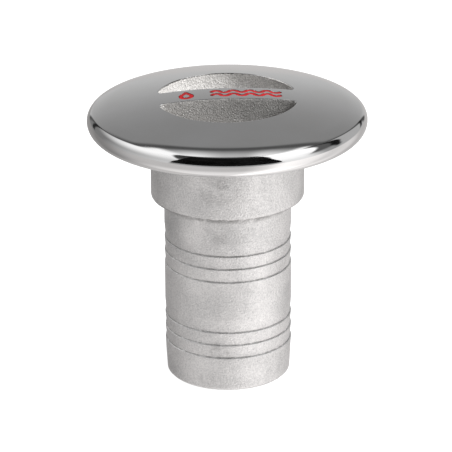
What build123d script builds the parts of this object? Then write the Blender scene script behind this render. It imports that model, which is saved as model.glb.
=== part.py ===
from build123d import *
import math
import os

# Deck fill cap for a 38 mm (1 1/2 inch) filler hose.
# Millimetres, +Z up. The origin is on the axis, in the deck plane: the
# underside of the deck gasket lies on Z = 0. The finger ridge runs along X.

# ---- driving dimensions ----
# crown and rim of the cap
rim_r = 44.0
skirt_bottom_z = 0.3
rim_equator_z = 4.15
crown_top_z = 12.8
dome_r = 171.0
dome_edge_r = 37.2
roll_r = 31.0
skirt_bore_r = 39.4
cap_land_z = 4.3
hollow_inner_r = 24.5
hollow_outer_r = 37.6
crown_wall = 2.6
rib_count = 6
rib_width = 2.4

# finger pockets, one on each side of the ridge
ridge_width = 9.7
pocket_r = 22.3
pocket_scoop_r = 9.4
pocket_floor_z = 1.6
pocket_root_fillet = 1.8
ridge_draft_deg = 4.0

# plug and its three-start thread, and the neck that it screws into
shoulder_r = 22.9
shoulder_z = 2.6
plug_root_r = 20.2
plug_bore_r = 17.2
plug_bottom_z = -13.0
plug_roof_z = -1.0
thread_starts = 3
thread_pitch = 4.0
thread_lead = thread_starts * thread_pitch
rib_depth = 1.15
rib_root_width = 2.2
rib_crest_width = 1.1
rib_buried = 0.35
neck_bore_r = 21.75
neck_thread_bottom_z = -12.6
neck_thread_top_z = -1.6
plug_thread_bottom_z = -12.4
plug_thread_top_z = -2.2
neck_floor_z = -15.0

# flange, collar and hose tail of the body casting
flange_r = 38.9
flange_bottom_z = 1.0
flange_top_z = 4.0
seat_bore_r = 23.2
seat_z = 0.4
collar_r = 24.19
collar_bottom_z = -20.8
collar_edge_fillet = 0.9
tail_r = 20.06
tail_end_r = 19.5
tail_end_chamfer = 0.8
tail_bottom_z = -80.5
tail_bore_r = 17.0
tail_bore_chamfer = 0.8
throat_r = 15.0
throat_top_z = -18.6
throat_bottom_z = -21.6
throat_cone = 2.0
neck_floor_cone = 1.6
barb_step = 0.38
barb_ledges_z = (-34.51, -38.86, -43.25, -60.41, -64.67, -69.02)
barb_pitch = 4.34

# screw holes of the flange and the gasket under it
screw_count = 4
screw_circle_r = 31.5
screw_hole_r = 2.75
screw_head_r = 5.0
gasket_inner_r = 26.0
gasket_outer_r = 38.4
gasket_hole_r = 3.2

# seals carried by the cap
o_ring_wire_r = 1.05
o_ring_r = 21.45
o_ring_stand = 0.06
wiper_inner_r = 37.9
wiper_outer_r = 39.1
wiper_groove_depth = 0.9
wiper_stand = 0.18

# swivel under the plug roof
boss_r = 5.6
boss_bottom_z = -4.0
screw_thread_r = 2.0
screw_thread_fit = 0.05
screw_thread_top_z = 4.0
screw_shoulder_r = 2.92
screw_shoulder_end_z = -6.4
screw_head_bottom_z = -8.7
screw_tip_gap = 0.6
screw_head_fillet = 0.5
screw_slot_width = 1.1
screw_slot_depth = 1.0
swivel_head_r = 4.6
swivel_hole_r = 3.0
plate_r = 5.4
plate_top_z = -4.3
plate_thickness = 1.2
tab_x = 7.6
tab_width = 6.0
tab_bottom_z = -11.6
tab_corner_r = 2.8
plate_bend_r = 0.9
eye_z = -9.6
eye_r = 1.35
washer_top_z = -5.62
washer_thickness = 0.65
washer_r = 5.0

# retaining chain and its toggle bar
split_ring_r = 3.1
split_ring_wire_r = 0.55
split_ring_clear = 0.12
split_ring_gap = 0.3
split_ring_gap_deg = 35
link_wire_r = 0.6
link_inner_length = 6.9
link_inner_width = 2.9
link_count = 7
link_gap = 0.08
toggle_r = 1.4
toggle_waist_r = 0.95
toggle_waist_width = 3.0
toggle_length = 27.0
toggle_end_fillet = 0.6

# marks cut in the ridge and filled with red enamel
mark_depth = 0.6
enamel_recess = 0.08
mark_line = 1.05
drop_x = -12.8
drop_r = 2.25
drop_height = 6.2
wave_start_x = -4.7
wave_end_x = 16.6
wave_count = 4
wave_amplitude = 0.85
wave_rows_y = (1.45, -1.45)

# The crown in section is one smooth line: the dome, a tighter roll at its
# edge, and the nose of the rim, each arc tangent to the one before. A lower
# quarter takes the nose round to the foot of the skirt.
dome_centre_z = crown_top_z - dome_r
dome_edge_deg = math.degrees(math.asin(dome_edge_r / dome_r))
roll_centre_r = dome_edge_r * (1 - roll_r / dome_r)
roll_centre_z = dome_centre_z + (dome_r - roll_r) * math.cos(
    math.radians(dome_edge_deg)
)
roll_to_rim = rim_r - roll_centre_r
roll_to_equator = rim_equator_z - roll_centre_z
upper_nose_r = (roll_r**2 - roll_to_rim**2 - roll_to_equator**2) / (
    2 * (roll_r - roll_to_rim)
)
nose_start_deg = math.degrees(
    math.atan2(roll_to_rim - upper_nose_r, roll_to_equator)
)
lower_nose_r = rim_equator_z - skirt_bottom_z
rim_foot_r = rim_r - lower_nose_r


def dome_z(radius, inset=0.0):
    """Height of the crown, or of a surface parallel to it and inset below it."""
    return dome_centre_z + math.sqrt((dome_r - inset) ** 2 - radius**2)


def lathe(points):
    """Solid of revolution from a closed outline of (radius, z) points."""
    outline = Polyline(*[(r, 0, z) for r, z in points], close=True)
    return revolve(make_face(outline), Axis.Z)


def ring(outer, inner, bottom, top):
    """Plain ring between two radii and two heights."""
    return lathe([(inner, bottom), (outer, bottom), (outer, top), (inner, top)])


def disc(radius, bottom, top):
    """Plain disc on the axis."""
    return Pos(0, 0, bottom) * Cylinder(
        radius, top - bottom, align=(Align.CENTER, Align.CENTER, Align.MIN)
    )


def under_dome(inset, floor_z, radius):
    """Everything below the crown surface, inset by a distance, down to a floor."""
    top = dome_z(0, inset)
    edge = dome_z(radius, inset)
    middle = dome_z(radius / 2, inset)
    arc = ThreePointArc((0, 0, top), (radius / 2, 0, middle), (radius, 0, edge))
    sides = Polyline(
        (radius, 0, edge), (radius, 0, floor_z), (0, 0, floor_z), (0, 0, top)
    )
    return revolve(make_face([arc, sides]), Axis.Z)


# ---- thread ----
def thread_rib(wall_r, inward, bottom, top, start_angle):
    """One start of the thread: a helical rib on a wall, pointing out or in."""
    direction = -1 if inward else 1
    buried_r = wall_r - direction * rib_buried
    crest_r = wall_r + direction * rib_depth
    helix = Helix(thread_lead, top - bottom, buried_r)
    half_root = rib_root_width / 2
    half_crest = rib_crest_width / 2
    section = Polyline(
        (buried_r, 0, -half_root),
        (wall_r, 0, -half_root),
        (crest_r, 0, -half_crest),
        (crest_r, 0, half_crest),
        (wall_r, 0, half_root),
        (buried_r, 0, half_root),
        close=True,
    )
    rib = sweep(make_face(section), path=helix, is_frenet=True)
    return Pos(0, 0, bottom) * Rot(0, 0, start_angle) * rib


def thread(wall_r, inward, bottom, top, phase):
    """All the starts of the thread, evenly turned round the axis."""
    ribs = []
    for start in range(thread_starts):
        angle = phase + start * 360 / thread_starts
        ribs.append(thread_rib(wall_r, inward, bottom, top, angle))
    return ribs


def lead_angle(z):
    """Turn of the plug's thread at a height, counted from its lower end."""
    return 360 * (z - plug_thread_bottom_z) / thread_lead


# ---- body casting ----
def tail_outline():
    """Outer outline of the hose tail, from the collar down to its end."""
    points = [(tail_r, collar_bottom_z)]
    for index, ledge in enumerate(barb_ledges_z):
        if index % 3 == 0:
            points.append((tail_r, ledge + barb_pitch))
        points.append((tail_r - barb_step, ledge))
        points.append((tail_r, ledge))
    points.append((tail_end_r, tail_bottom_z + tail_end_chamfer))
    points.append((tail_end_r - tail_end_chamfer, tail_bottom_z))
    return points


def screw_places(radius):
    """Places of the flange screws, turned off the ridge's axis."""
    return PolarLocations(radius, screw_count, start_angle=45)


def build_body():
    """Flange, threaded neck, throat and barbed hose tail in one casting."""
    outer = [(seat_bore_r, flange_top_z), (flange_r, flange_top_z)]
    outer += [(flange_r, flange_bottom_z), (collar_r, flange_bottom_z)]
    outer += [(collar_r, collar_bottom_z)]
    outer += tail_outline()
    inner = [(tail_bore_r + tail_bore_chamfer, tail_bottom_z)]
    inner += [(tail_bore_r, tail_bottom_z + tail_bore_chamfer)]
    inner += [(tail_bore_r, throat_bottom_z - throat_cone), (throat_r, throat_bottom_z)]
    inner += [(throat_r, throat_top_z)]
    inner += [(neck_bore_r - neck_floor_cone, neck_floor_z)]
    inner += [(neck_bore_r, neck_floor_z)]
    inner += [(neck_bore_r, seat_z), (seat_bore_r, seat_z)]
    body = lathe(outer + inner)
    edge = body.edges().filter_by(GeomType.CIRCLE)
    edge = edge.filter_by(lambda e: abs(e.radius - collar_r) < 0.01)
    edge = edge.filter_by(lambda e: abs(e.center().Z - collar_bottom_z) < 0.01)
    body = fillet(edge, collar_edge_fillet)
    for place in screw_places(screw_circle_r):
        hole = Pos(0, 0, flange_bottom_z - 1) * Cylinder(
            screw_hole_r, 6, align=(Align.CENTER, Align.CENTER, Align.MIN)
        )
        sink_depth = screw_head_r - screw_hole_r
        sink = Pos(0, 0, flange_top_z - sink_depth) * Cone(
            screw_hole_r, screw_head_r, sink_depth,
            align=(Align.CENTER, Align.CENTER, Align.MIN),
        )
        body -= place * hole
        body -= place * sink
    # the neck's ribs lie midway between the plug's ribs
    phase = lead_angle(neck_thread_bottom_z + thread_pitch / 2)
    ribs = thread(neck_bore_r, True, neck_thread_bottom_z, neck_thread_top_z, phase)
    for rib in ribs:
        body += rib
    return body


def build_gasket():
    """Flat gasket between the flange and the deck."""
    gasket = ring(gasket_outer_r, gasket_inner_r, 0, flange_bottom_z)
    for place in screw_places(screw_circle_r):
        gasket -= place * Cylinder(gasket_hole_r, 4)
    return gasket


# ---- cap casting ----
def section_arc(centre_r, centre_z, radius, start_deg, end_deg):
    """Arc in the section plane; angles are counted from +Z towards the rim."""
    points = []
    for angle_deg in (start_deg, (start_deg + end_deg) / 2, end_deg):
        angle = math.radians(angle_deg)
        points.append(
            (
                centre_r + radius * math.sin(angle),
                0,
                centre_z + radius * math.cos(angle),
            )
        )
    return ThreePointArc(*points)


def crown_outline():
    """Cap in section: crown, rim nose, skirt, shoulder and hollow plug."""
    crown = section_arc(0, dome_centre_z, dome_r, 0, dome_edge_deg)
    roll = section_arc(
        roll_centre_r, roll_centre_z, roll_r, dome_edge_deg, nose_start_deg
    )
    upper_nose = section_arc(
        rim_r - upper_nose_r, rim_equator_z, upper_nose_r, nose_start_deg, 90
    )
    lower_nose = section_arc(
        rim_r - lower_nose_r, rim_equator_z, lower_nose_r, 90, 180
    )
    inner = Polyline(
        (rim_foot_r, 0, skirt_bottom_z),
        (skirt_bore_r, 0, skirt_bottom_z),
        (skirt_bore_r, 0, cap_land_z),
        (shoulder_r, 0, cap_land_z),
        (shoulder_r, 0, shoulder_z),
        (plug_root_r, 0, shoulder_z),
        (plug_root_r, 0, plug_bottom_z),
        (plug_bore_r, 0, plug_bottom_z),
        (plug_bore_r, 0, plug_roof_z),
        (0, 0, plug_roof_z),
        (0, 0, crown_top_z),
    )
    return [crown, roll, upper_nose, lower_nose, inner]


def pocket_bowl():
    """Bowl whose rim is the pocket circle: a flat floor and a scooped wall."""
    scoop_centre_r = pocket_r - pocket_scoop_r
    scoop_centre_z = pocket_floor_z + pocket_scoop_r
    turn = math.radians(45)
    scoop = ThreePointArc(
        (scoop_centre_r, 0, pocket_floor_z),
        (
            scoop_centre_r + pocket_scoop_r * math.sin(turn),
            0,
            scoop_centre_z - pocket_scoop_r * math.cos(turn),
        ),
        (pocket_r, 0, scoop_centre_z),
    )
    lid_z = crown_top_z + 5
    rest = Polyline(
        (pocket_r, 0, scoop_centre_z),
        (pocket_r, 0, lid_z),
        (0, 0, lid_z),
        (0, 0, pocket_floor_z),
        (scoop_centre_r, 0, pocket_floor_z),
    )
    return revolve(make_face([scoop, rest]), Axis.Z)


def ridge_block():
    """The ridge between the pockets, a little wider at its foot."""
    spread = math.tan(math.radians(ridge_draft_deg))
    foot_z = pocket_floor_z - 2
    top_z = crown_top_z + 6
    half = ridge_width / 2
    half_foot = half + (crown_top_z - foot_z) * spread
    half_top = half - (top_z - crown_top_z) * spread
    outline = Polyline(
        (-30, -half_foot, foot_z),
        (-30, half_foot, foot_z),
        (-30, half_top, top_z),
        (-30, -half_top, top_z),
        close=True,
    )
    return extrude(make_face(outline), 60, dir=(1, 0, 0))


def pockets():
    """Both finger pockets as one cutting tool, rounded along the ridge's foot."""
    tool = pocket_bowl() - ridge_block()
    pieces = []
    for pocket in tool.solids():
        inner_side = min(pocket.faces(), key=lambda f: abs(f.center().Y))
        foot = min(inner_side.edges(), key=lambda e: e.center().Z)
        pieces.append(fillet([foot], pocket_root_fillet))
    return pieces


def underside_hollow():
    """Ring-shaped relief under the crown, with radial ribs left standing.

    Each rib is half of a long bar, so the bar's other half is cut away first.
    """
    hollow = under_dome(crown_wall, cap_land_z - 1, hollow_outer_r)
    hollow -= disc(hollow_inner_r, cap_land_z - 2, crown_top_z)
    for index in range(rib_count):
        rib = Box(hollow_outer_r * 2.2, rib_width, 30)
        rib -= Pos(-hollow_outer_r, 0, 0) * Box(hollow_outer_r * 2, 40, 40)
        hollow -= Rot(0, 0, 30 + index * 360 / rib_count) * rib
    return hollow


def drop_outline():
    """Plain droplet, pointed end away from the operator."""
    low_y = -drop_height / 2 + drop_r
    tip_y = drop_height / 2
    reach = tip_y - low_y
    lean = math.asin(drop_r / reach)
    side = (drop_r * math.cos(lean), low_y + drop_r * math.sin(lean))
    bottom = ThreePointArc(
        (-side[0], side[1]), (0, low_y - drop_r), (side[0], side[1])
    )
    point = Polyline((side[0], side[1]), (0, tip_y), (-side[0], side[1]))
    return make_face([bottom, point])


def drop_mark():
    """Droplet drawn as a line of constant width."""
    outer = drop_outline()
    inner = offset(outer, -mark_line)
    return Pos(drop_x, 0) * (outer - inner)


def wave_mark(row_y):
    """One wavy line of even arcs."""
    half_wave = (wave_end_x - wave_start_x) / (2 * wave_count)
    arcs = []
    for index in range(2 * wave_count):
        left = wave_start_x + index * half_wave
        side = 1 if index % 2 == 0 else -1
        middle = (left + half_wave / 2, row_y + side * wave_amplitude)
        arcs.append(
            ThreePointArc((left, row_y), middle, (left + half_wave, row_y))
        )
    return trace(arcs, mark_line)


def mark_tool(sketch, top_inset, bottom_inset):
    """Part of a mark between two depths under the crown surface.

    A negative depth lies above the surface, so that a cut breaks through it.
    """
    column = Pos(0, 0, pocket_floor_z + 4) * extrude(sketch, 20, dir=(0, 0, 1))
    shell = under_dome(top_inset, 0, 30) - under_dome(bottom_inset, -1, 31)
    return column & shell


def build_cap(marks):
    """Screw cap: crown with its pockets and marks, skirt, plug and boss."""
    cap = revolve(make_face(crown_outline()), Axis.Z)
    cap -= underside_hollow()
    for pocket in pockets():
        cap -= pocket
    cap += disc(boss_r, boss_bottom_z, plug_roof_z + 0.5)
    cap -= disc(screw_thread_r + screw_thread_fit, boss_bottom_z - 1, screw_thread_top_z)
    cap -= ring(
        wiper_outer_r, wiper_inner_r, cap_land_z - 1, cap_land_z + wiper_groove_depth
    )
    for sketch in marks:
        cap -= mark_tool(sketch, -1, mark_depth)
    ribs = thread(plug_root_r, False, plug_thread_bottom_z, plug_thread_top_z, 0)
    for rib in ribs:
        cap += rib
    return cap


def build_enamel(sketches):
    """Red filling of the marks, just below the polished surface."""
    fills = []
    for sketch in sketches:
        fills += mark_tool(sketch, enamel_recess, mark_depth).solids()
    return Compound(children=fills) if len(fills) > 1 else fills[0]


def build_o_ring():
    """Round seal on the neck's seat, just clear of it."""
    centre_z = seat_z + o_ring_stand + o_ring_wire_r
    return Pos(0, 0, centre_z) * Torus(o_ring_r, o_ring_wire_r)


def build_wiper():
    """Flat rim seal let into the land of the cap, just clear of the flange."""
    low = flange_top_z + wiper_stand
    return ring(
        wiper_outer_r, wiper_inner_r, low, cap_land_z + wiper_groove_depth
    )


# ---- swivel ----
def build_swivel_screw():
    """Shouldered screw with a slotted head, pointing up into the boss."""
    screw = disc(
        screw_thread_r, boss_bottom_z, screw_thread_top_z - screw_tip_gap
    )
    screw += disc(screw_shoulder_r, screw_shoulder_end_z, boss_bottom_z)
    head = disc(swivel_head_r, screw_head_bottom_z, screw_shoulder_end_z)
    head = fillet(head.edges().sort_by(Axis.Z)[:1], screw_head_fillet)
    screw += head
    slot = Box(2 * swivel_head_r + 1, screw_slot_width, 2 * screw_slot_depth)
    return screw - Pos(0, 0, screw_head_bottom_z) * slot


def build_washer():
    """Bearing washer between the swivel plate and the screw's head."""
    low = washer_top_z - washer_thickness
    return ring(washer_r, swivel_hole_r, low, washer_top_z)


def build_swivel_plate():
    """Plate round the screw's shoulder, bent down into a tab with an eye."""
    low = plate_top_z - plate_thickness
    plate = disc(plate_r, low, plate_top_z)
    arm_centre = tab_x / 2
    plate += Pos(arm_centre, 0, (low + plate_top_z) / 2) * Box(
        tab_x, tab_width, plate_thickness
    )
    tab_height = plate_top_z - tab_bottom_z
    tab = Pos(
        tab_x - plate_thickness / 2, 0, tab_bottom_z + tab_height / 2
    ) * Box(plate_thickness, tab_width, tab_height)
    corners = tab.edges().filter_by(Axis.X).sort_by(Axis.Z)[:2]
    plate += fillet(corners, tab_corner_r)
    bend = plate.edges().filter_by(Axis.Y).sort_by(Axis.Z)[-1:]
    plate = fillet(bend, plate_bend_r)
    plate -= disc(swivel_hole_r, low - 1, plate_top_z + 1)
    plate -= Pos(tab_x, 0, eye_z) * Rot(0, 90, 0) * Cylinder(eye_r, 6)
    return plate


# ---- chain ----
chain_x = tab_x - plate_thickness / 2
upper_ring_z = eye_z - eye_r + split_ring_wire_r + split_ring_clear - split_ring_r


def build_split_ring(centre_z):
    """Split ring hanging in the XZ plane, with its narrow gap."""
    torus = Rot(90, 0, 0) * Torus(split_ring_r, split_ring_wire_r)
    gap = Rot(0, split_ring_gap_deg, 0) * Pos(split_ring_r, 0, 0) * Box(
        split_ring_r, split_ring_r, split_ring_gap
    )
    return Pos(chain_x, 0, centre_z) * (torus - gap)


def chain_link(centre_z, turned):
    """Oval link of round wire, hanging along Z."""
    length = link_inner_length + 2 * link_wire_r
    width = link_inner_width + 2 * link_wire_r
    route = SlotOverall(length, width, rotation=90).face().outer_wire()
    section = Plane(origin=route @ 0, z_dir=route % 0) * Circle(link_wire_r)
    upright = Rot(90, 0, 0) * sweep(section, path=route)
    angle = 90 if turned else 0
    return Pos(chain_x, 0, centre_z) * Rot(0, 0, angle) * upright


first_link_z = (
    upper_ring_z - split_ring_r + split_ring_wire_r + link_gap - link_inner_length / 2
)


def link_height(index):
    """Centre of a link: each one hangs in the bow of the one above it."""
    pitch = link_inner_length - 2 * link_gap
    return first_link_z - index * pitch


def build_chain():
    """Straight hanging chain, each link turned a quarter from the last."""
    links = []
    for index in range(link_count):
        links.append(chain_link(link_height(index), index % 2 == 0))
    return links


def lower_ring_height():
    """Centre of the split ring that hangs in the last link."""
    last_bow = link_height(link_count - 1) - link_inner_length / 2
    return last_bow + link_gap - split_ring_r + split_ring_wire_r


def build_toggle(ring_z):
    """Cross bar held by the lower ring in its waist."""
    bar_z = ring_z - split_ring_r + split_ring_wire_r + toggle_waist_r + link_gap
    bar = Rot(90, 0, 0) * Cylinder(toggle_r, toggle_length)
    bar = fillet(bar.edges().filter_by(GeomType.CIRCLE), toggle_end_fillet)
    waist = Rot(90, 0, 0) * Cylinder(toggle_r + 1, toggle_waist_width)
    waist -= Rot(90, 0, 0) * Cylinder(toggle_waist_r, toggle_waist_width + 2)
    return Pos(chain_x, 0, bar_z) * (bar - waist)


# ---- build and export ----
def save(shape, node):
    """Write one node; a list of solids becomes one group."""
    if isinstance(shape, list):
        shape = Compound(children=shape)
    export_step(shape, f"parts/{node}.step")


os.makedirs("parts", exist_ok=True)

drop_sketch = drop_mark()
wave_sketches = [wave_mark(row_y) for row_y in wave_rows_y]
lower_ring_z = lower_ring_height()

save(build_body(), "body_casting")
save(build_gasket(), "deck_gasket")
save(build_cap([drop_sketch] + wave_sketches), "cap_casting")
save(build_o_ring(), "cap_o_ring")
save(build_wiper(), "rim_seal")
save(build_enamel([drop_sketch]), "drop_enamel")
save(build_enamel(wave_sketches), "wave_enamel")
save(build_swivel_screw(), "swivel_screw")
save(build_washer(), "swivel_washer")
save(build_swivel_plate(), "swivel_plate")
save(build_split_ring(upper_ring_z), "upper_split_ring")
save(build_chain(), "chain_links")
save(build_split_ring(lower_ring_z), "lower_split_ring")
save(build_toggle(lower_ring_z), "toggle_bar")
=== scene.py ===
"""Looks of the boat's deck fill cap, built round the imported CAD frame."""
import math

import bmesh
import bpy
import numpy as np
from mathutils import Matrix, Vector, noise


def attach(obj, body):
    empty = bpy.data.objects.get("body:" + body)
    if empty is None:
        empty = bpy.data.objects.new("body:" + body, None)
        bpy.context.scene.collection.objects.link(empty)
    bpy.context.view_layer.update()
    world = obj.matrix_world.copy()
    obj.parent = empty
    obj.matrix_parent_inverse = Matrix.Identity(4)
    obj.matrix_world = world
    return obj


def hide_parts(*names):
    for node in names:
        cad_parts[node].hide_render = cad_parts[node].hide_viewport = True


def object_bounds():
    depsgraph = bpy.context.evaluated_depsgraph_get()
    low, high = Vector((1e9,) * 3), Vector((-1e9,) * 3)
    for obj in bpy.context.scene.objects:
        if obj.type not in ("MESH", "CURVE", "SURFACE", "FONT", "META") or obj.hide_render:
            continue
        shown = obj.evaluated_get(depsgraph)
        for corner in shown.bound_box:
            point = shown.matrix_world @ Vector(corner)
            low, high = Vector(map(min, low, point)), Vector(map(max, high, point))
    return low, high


MM = 0.001

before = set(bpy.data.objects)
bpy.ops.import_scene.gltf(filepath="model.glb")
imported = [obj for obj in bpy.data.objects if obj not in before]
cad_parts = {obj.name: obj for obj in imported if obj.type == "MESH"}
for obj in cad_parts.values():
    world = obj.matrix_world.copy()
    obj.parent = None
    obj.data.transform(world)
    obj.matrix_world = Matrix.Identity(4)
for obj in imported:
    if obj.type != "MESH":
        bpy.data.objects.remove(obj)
cad_low, cad_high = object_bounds()

# ---- sizes in millimetres, as in the CAD source ----
RIM_R = cad_high.x / MM
CROWN_Z = cad_high.z / MM
FLOOR_Z = cad_low.z / MM
SKIRT_Z = 0.3
EQUATOR_Z = 4.15
DOME_R, DOME_EDGE_R, ROLL_R = 171.0, 37.2, 31.0
DOME_Z = CROWN_Z - DOME_R
DOME_EDGE = math.asin(DOME_EDGE_R / DOME_R)
ROLL_AT_R = DOME_EDGE_R * (1 - ROLL_R / DOME_R)
ROLL_AT_Z = DOME_Z + (DOME_R - ROLL_R) * math.cos(DOME_EDGE)
TO_RIM, TO_EQUATOR = RIM_R - ROLL_AT_R, EQUATOR_Z - ROLL_AT_Z
NOSE_R = (ROLL_R**2 - TO_RIM**2 - TO_EQUATOR**2) / (2 * (ROLL_R - TO_RIM))
NOSE_START = math.atan2(TO_RIM - NOSE_R, TO_EQUATOR)
FOOT_R = EQUATOR_Z - SKIRT_Z

POCKET_R = 22.3
SCOOP_R = 9.4
POCKET_FLOOR_Z = 1.6
RIDGE_HALF = 4.85
RIDGE_DRAFT = math.tan(math.radians(4))
EDGE_SOFT = 0.28
ROOT_SOFT = 2.4

THREAD_STARTS = 3
THREAD_LEAD = 12.0
THREAD_PITCH = THREAD_LEAD / THREAD_STARTS
PLUG_R, PLUG_BORE_R, PLUG_Z = 20.2, 17.2, -13.0
NECK_R = 21.75

BARBS_Z = (-34.51, -38.86, -43.25, -60.41, -64.67, -69.02)
BARB_STEP, BARB_PITCH, BARB_LIP = 0.38, 4.34, 0.22
COLLAR_R, COLLAR_Z = 24.19, -20.8
TAIL_R, TAIL_END_R = 20.06, 19.5
FLANGE_R, FLANGE_LOW_Z, FLANGE_TOP_Z = 38.9, 1.0, 4.0
SEAT_R, SEAT_Z = 23.2, 0.4
SCREWS, SCREW_CIRCLE_R, SCREW_R, SINK_R = 4, 31.5, 2.75, 5.0

# turn of the camera and the studio from the ridge's square, in degrees
VIEW_TURN = 3.5


# faint stains on the cast skin: middle, reach and depth of tone
STAINS = (
    ((-3.4, -24.0, -11.0), 11.0, 0.26),
    ((-5.0, -19.5, -27.0), 10.5, 0.17),
    ((-2.3, -19.9, -67.6), 3.6, 0.40),
    ((-5.4, -19.3, -66.4), 3.4, 0.34),
    ((-9.0, -18.0, -78.0), 5.0, 0.20),
)


# ---- small shader helpers ----
class Graph:
    """Builds one material's or world's nodes with little typing."""

    def __init__(self, tree):
        self.tree = tree
        tree.nodes.clear()

    def node(self, kind, inputs=None, **settings):
        made = self.tree.nodes.new(kind)
        for name, value in settings.items():
            setattr(made, name, value)
        for name, value in (inputs or {}).items():
            self.plug(value, made.inputs[name])
        return made

    def plug(self, value, socket):
        if isinstance(value, bpy.types.NodeSocket):
            self.tree.links.new(value, socket)
        else:
            socket.default_value = value

    def math(self, operation, a, b=0.0, c=0.0, clamp=False):
        made = self.node("ShaderNodeMath", operation=operation, use_clamp=clamp)
        for socket, value in zip(made.inputs, (a, b, c)):
            self.plug(value, socket)
        return made.outputs[0]

    def step(self, value, low, high, start=0.0, end=1.0):
        """Smooth step of a value from low to high."""
        made = self.node("ShaderNodeMapRange", interpolation_type="SMOOTHSTEP")
        numbers = (value, low, high, start, end)
        for socket, number in zip(made.inputs, numbers):
            self.plug(number, socket)
        return made.outputs[0]

    def place(self):
        return self.node("ShaderNodeTexCoord").outputs["Object"]

    def grain(self, place, scale, detail=3.0, roughness=0.55, stretch=None):
        if stretch:
            place = self.node(
                "ShaderNodeMapping", {"Vector": place, "Scale": stretch}
            ).outputs[0]
        values = {
            "Vector": place, "Scale": scale, "Detail": detail, "Roughness": roughness,
        }
        return self.node("ShaderNodeTexNoise", values).outputs["Fac"]

    def cells(self, place, scale):
        values = {"Vector": place, "Scale": scale}
        return self.node("ShaderNodeTexVoronoi", values).outputs["Distance"]

    def ramp(self, value, stops):
        made = self.node("ShaderNodeValToRGB", {"Fac": value})
        band = made.color_ramp
        while len(band.elements) < len(stops):
            band.elements.new(0.5)
        for element, (place, colour) in zip(band.elements, stops):
            element.position = place
            if not isinstance(colour, tuple):
                colour = (colour, colour, colour)
            element.color = (*colour, 1)
        return made.outputs[0]

    def blend(self, share, a, b):
        made = self.node("ShaderNodeMix", data_type="RGBA")
        self.plug(share, made.inputs[0])
        for socket, value in ((made.inputs[6], a), (made.inputs[7], b)):
            if isinstance(value, tuple):
                value = (*value, 1)
            self.plug(value, socket)
        return made.outputs[2]

    def bump(self, height, strength, distance_mm, normal=None):
        values = {"Height": height, "Strength": strength, "Distance": distance_mm * MM}
        if normal is not None:
            values["Normal"] = normal
        return self.node("ShaderNodeBump", values).outputs[0]


def material(name, paint):
    """Principled material; paint(graph) returns the values of its sockets."""
    made = bpy.data.materials.new(name)
    made.use_nodes = True
    graph = Graph(made.node_tree)
    values = paint(graph)
    for key, value in values.items():
        if isinstance(value, tuple) and len(value) == 3:
            values[key] = (*value, 1)
    shader = graph.node("ShaderNodeBsdfPrincipled", values)
    output = graph.node("ShaderNodeOutputMaterial")
    graph.tree.links.new(shader.outputs[0], output.inputs[0])
    return made


# ---- materials ----
def polished_steel(g):
    """Mirror-polished casting: faint buffing lines, haze and long ripples."""
    place = g.place()
    haze = g.grain(place, 55, 4)
    lines = g.grain(place, 900, 2, 0.6, (1.0, 0.12, 0.3))
    rough = g.math("ADD", g.step(haze, 0.45, 0.8, 0.035, 0.085), g.math("MULTIPLY", lines, 0.03))
    ripple = g.bump(g.grain(place, 95, 1), 0.05, 0.12)
    tint = g.ramp(haze, [(0.3, (0.70, 0.70, 0.705)), (0.75, (0.66, 0.655, 0.65))])
    return {
        "Base Color": tint,
        "Metallic": 1.0,
        "Roughness": rough,
        "Normal": g.bump(lines, 0.04, 0.01, ripple),
    }


def cast_skin(g, light, dark, rough_low, rough_high, depth, painted_shade_and_stains=None, metal=1.0):
    """Shot-blasted casting: pebbled grain, cloudy tone, small pits, and an optional mask of
    painted shade and stains.
    """
    place = g.place()
    cloud = g.grain(place, 75, 4, 0.55)
    fine = g.grain(place, 1900, 2, 0.6)
    sand = g.grain(place, 4200, 2, 0.7)
    pits = g.step(g.cells(place, 420), 0.0, 0.10)
    tone = g.math("MULTIPLY", cloud, 0.34)
    tone = g.math("ADD", tone, g.math("MULTIPLY", fine, 0.33))
    tone = g.math("ADD", tone, g.math("MULTIPLY", sand, 0.33))
    colour = g.ramp(tone, [(0.38, dark), (0.60, light)])
    colour = g.blend(g.math("MULTIPLY", g.math("SUBTRACT", 1.0, pits), 0.45), colour, dark)
    if painted_shade_and_stains is not None:
        # darkens the skin by the mask: painted shade in creases and hollows, and stains where
        # given
        colour = g.blend(painted_shade_and_stains(g, place), colour, (0.16, 0.155, 0.15))
    normal = g.bump(pits, 0.4, 0.10)
    normal = g.bump(fine, 1.0, depth, normal)
    return {
        "Base Color": colour,
        "Metallic": metal,
        "Roughness": g.step(g.grain(place, 700, 3), 0.3, 0.7, rough_low, rough_high),
        "Normal": g.bump(sand, 1.0, depth * 0.4, normal),
    }


def tail_painted_shade_and_stains(g, place):
    """Painted shade along the barb ledges and under the collar, broken by noise, and stains."""
    height = g.node("ShaderNodeSeparateXYZ", {0: place}).outputs[2]
    under = g.step(height, (COLLAR_Z - 3.3) * MM, (COLLAR_Z - 1.2) * MM)
    on_tail = g.step(height, (COLLAR_Z - 0.02) * MM, (COLLAR_Z - 0.06) * MM)
    share = g.math("MULTIPLY", under, on_tail)
    for line_z, reach in [(COLLAR_Z + 0.25, 0.55)] + [(z + 0.1, 0.26) for z in BARBS_Z]:
        gap = g.math("ABSOLUTE", g.math("SUBTRACT", height, line_z * MM))
        share = g.math("MAXIMUM", share, g.step(gap, reach * MM, 0.0))
    patchy = g.step(g.grain(place, 420, 3), 0.26, 0.60)
    share = g.math("MULTIPLY", g.math("MULTIPLY", share, patchy), 0.70)
    cloud = g.step(g.grain(place, 260, 3, 0.6), 0.36, 0.60)
    for centre, reach, depth in STAINS:
        values = {0: place, 1: tuple(c * MM for c in centre)}
        away = g.node("ShaderNodeVectorMath", values, operation="DISTANCE").outputs["Value"]
        stain = g.math("MULTIPLY", g.step(away, reach * MM, 0.0, 0.0, depth), cloud)
        share = g.math("MAXIMUM", share, stain)
    return share


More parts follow.
